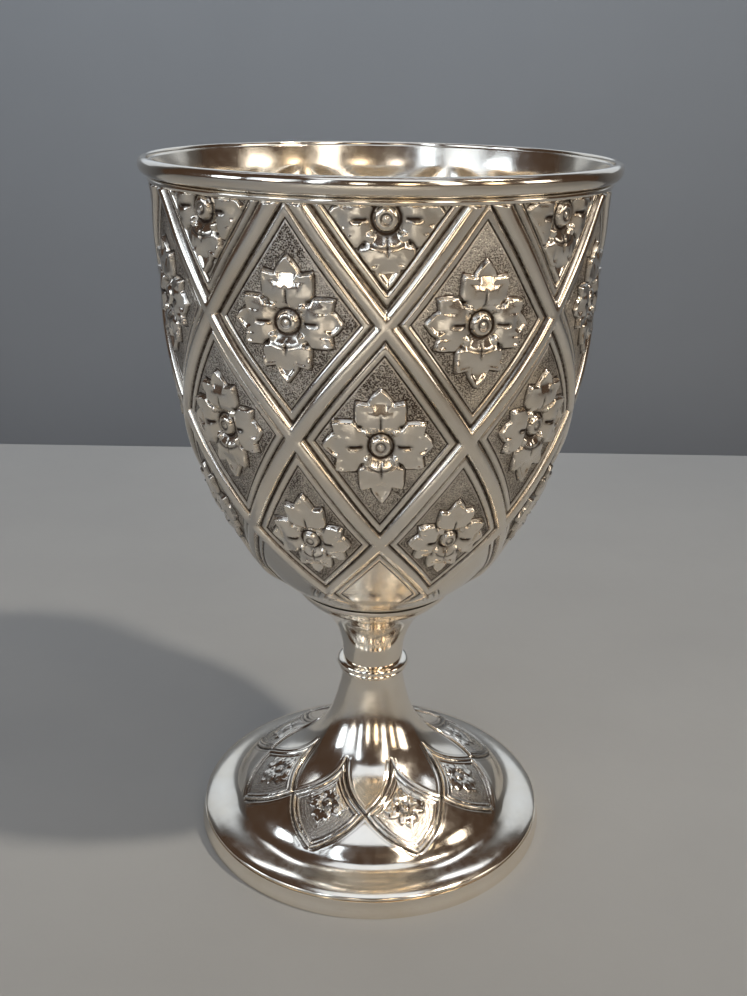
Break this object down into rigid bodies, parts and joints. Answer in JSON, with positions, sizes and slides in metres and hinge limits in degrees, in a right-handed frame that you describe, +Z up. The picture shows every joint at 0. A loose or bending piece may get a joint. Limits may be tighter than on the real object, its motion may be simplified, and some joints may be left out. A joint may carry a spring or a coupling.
{
  "type": "silver goblet",
  "caption": "Tall silver goblet with a deep chased bowl in a lattice of flowered lozenges, a short ringed stem and a domed, chased round foot.",
  "frame": {"origin": "centre of the base, in the plane that the goblet stands on", "axes": "+Z up along the goblet's axis of symmetry, through the middle of the mouth; -Y towards the viewer"},
  "size_m": [0.096, 0.096, 0.155],
  "materials": {
    "chased_silver": "chased silver, polished on its ribs and flowers, matted and darkened in its ground",
    "polished_silver": "polished silver with the fine scratches of long use",
    "unpolished_silver": "silver left as it came from the bench, hidden in the stem and under the foot"
  },
  "bodies": {
    "root": {"bowl": "chased_silver", "lip_roll": "polished_silver", "lip_step": "polished_silver", "calyx": "polished_silver", "spool": "polished_silver", "stem_ring": "polished_silver", "stem_sleeve": "unpolished_silver", "foot": "chased_silver", "foot_band": "polished_silver", "foot_wire": "unpolished_silver"}
  },
  "joints": []
}
